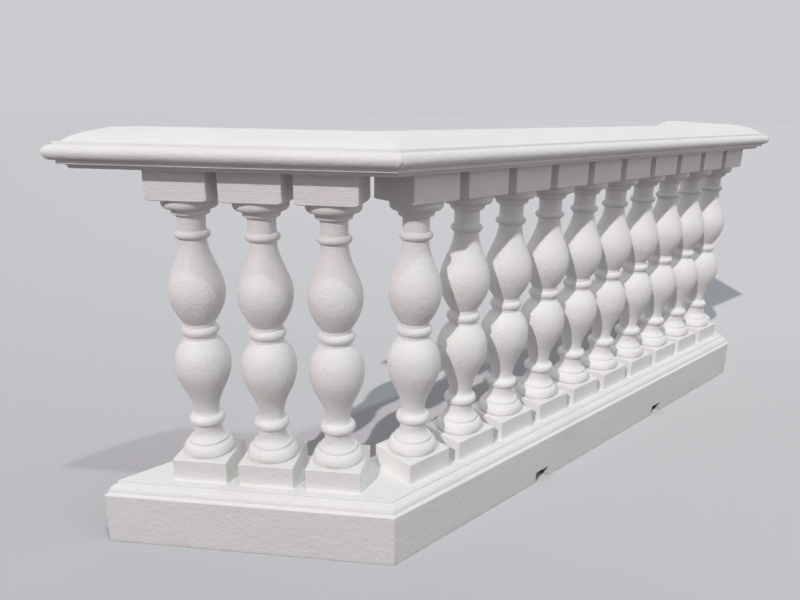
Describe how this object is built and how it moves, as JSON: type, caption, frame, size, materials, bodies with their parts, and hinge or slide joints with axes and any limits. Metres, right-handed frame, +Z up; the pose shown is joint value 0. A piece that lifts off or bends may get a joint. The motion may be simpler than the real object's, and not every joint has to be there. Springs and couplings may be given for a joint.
{
  "type": "stone balustrade",
  "caption": "Cast-stone balustrade on a splayed plan: turned balusters between a hollow base rail and a moulded top rail, its ends cut to meet a wall.",
  "frame": {"origin": "on the ground, under the middle of the whole outline", "axes": "+X along the front run, towards the right corner seen from outside; +Y from the front face back to the wall; +Z up"},
  "size_m": [3.0096, 0.5924, 1.067],
  "materials": {
    "cast_stone": "rough white masonry paint over cast stone"
  },
  "bodies": {
    "root": {"baluster_front_1": "cast_stone", "baluster_front_10": "cast_stone", "baluster_front_2": "cast_stone", "baluster_front_3": "cast_stone", "baluster_front_4": "cast_stone", "baluster_front_5": "cast_stone", "baluster_front_6": "cast_stone", "baluster_front_7": "cast_stone", "baluster_front_8": "cast_stone", "baluster_front_9": "cast_stone", "baluster_left_1": "cast_stone", "baluster_left_2": "cast_stone", "baluster_left_3": "cast_stone", "baluster_right_1": "cast_stone", "baluster_right_2": "cast_stone", "baluster_right_3": "cast_stone", "base_rail_front": "cast_stone", "base_rail_left": "cast_stone", "base_rail_right": "cast_stone", "top_rail_front_left": "cast_stone", "top_rail_front_right": "cast_stone", "top_rail_left": "cast_stone", "top_rail_right": "cast_stone"}
  },
  "joints": []
}
